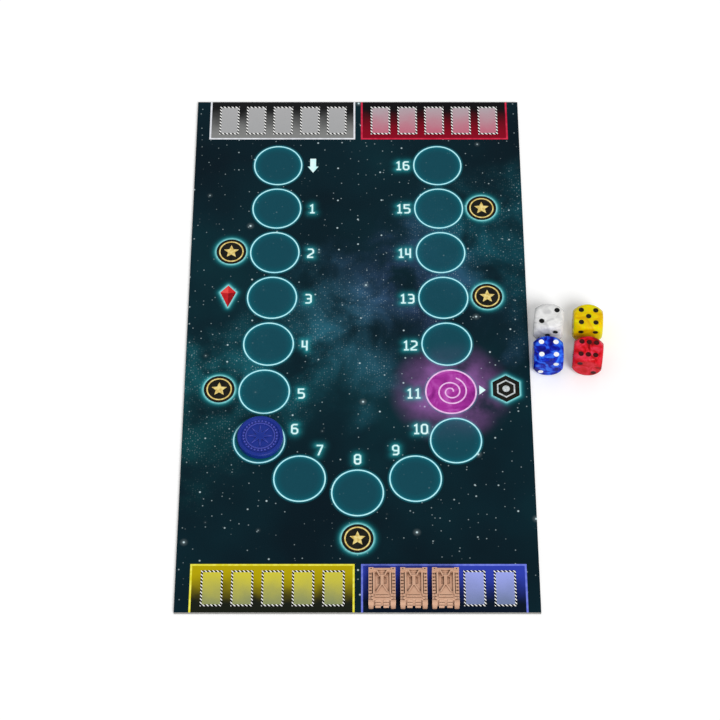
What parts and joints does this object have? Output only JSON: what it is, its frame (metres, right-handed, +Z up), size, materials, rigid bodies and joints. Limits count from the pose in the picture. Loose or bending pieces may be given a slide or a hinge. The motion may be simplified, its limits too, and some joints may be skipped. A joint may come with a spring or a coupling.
{
  "type": "board game expansion set",
  "caption": "Flat printed game board with a numbered track and player bays, laid out with a moulded scoring disc, tracked vehicle playing pieces and rounded dice.",
  "frame": {"origin": "centre of the board's underside, on the surface that the set lies on", "axes": "+X to the right across the board, towards the dice; +Y along the board to its far end; +Z up"},
  "size_m": [0.2285, 0.33, 0.016],
  "materials": {
    "greyboard": "raw cut fibre",
    "printed_paper": "printed, satin varnish",
    "liner_paper": "matt",
    "blue_plastic": "moulded, satin",
    "tan_plastic": "moulded, satin",
    "white_acrylic": "polished pearl",
    "yellow_acrylic": "polished pearl",
    "blue_acrylic": "polished marbled",
    "red_acrylic": "polished marbled",
    "black_paint": "enamel",
    "white_paint": "enamel",
    "dark_red_paint": "enamel"
  },
  "bodies": {
    "board": {"board_core": "greyboard", "board_face_sheet": "printed_paper", "board_back_sheet": "liner_paper"},
    "disc": {"scoring_disc": "blue_plastic"},
    "tank_a": {"tank_1": "tan_plastic"},
    "tank_b": {"tank_2": "tan_plastic"},
    "tank_c": {"tank_3": "tan_plastic"},
    "white_die": {"die_white": "white_acrylic", "die_white_pips": "black_paint"},
    "yellow_die": {"die_yellow": "yellow_acrylic", "die_yellow_pips": "black_paint"},
    "blue_die": {"die_blue": "blue_acrylic", "die_blue_pips": "white_paint"},
    "red_die": {"die_red": "red_acrylic", "die_red_pips": "dark_red_paint"}
  },
  "joints": [
    {"name": "disc_lift", "type": "slide", "parent": "board", "child": "disc", "axis": [0, 0, 1], "range_m": [0, 0.05]},
    {"name": "tank_a_lift", "type": "slide", "parent": "board", "child": "tank_a", "axis": [0, 0, 1], "range_m": [0, 0.05]},
    {"name": "tank_b_lift", "type": "slide", "parent": "board", "child": "tank_b", "axis": [0, 0, 1], "range_m": [0, 0.05]},
    {"name": "tank_c_lift", "type": "slide", "parent": "board", "child": "tank_c", "axis": [0, 0, 1], "range_m": [0, 0.05]},
    {"name": "white_die_lift", "type": "slide", "parent": "board", "child": "white_die", "axis": [0, 0, 1], "range_m": [0, 0.05]},
    {"name": "yellow_die_lift", "type": "slide", "parent": "board", "child": "yellow_die", "axis": [0, 0, 1], "range_m": [0, 0.05]},
    {"name": "blue_die_lift", "type": "slide", "parent": "board", "child": "blue_die", "axis": [0, 0, 1], "range_m": [0, 0.05]},
    {"name": "red_die_lift", "type": "slide", "parent": "board", "child": "red_die", "axis": [0, 0, 1], "range_m": [0, 0.05]}
  ]
}
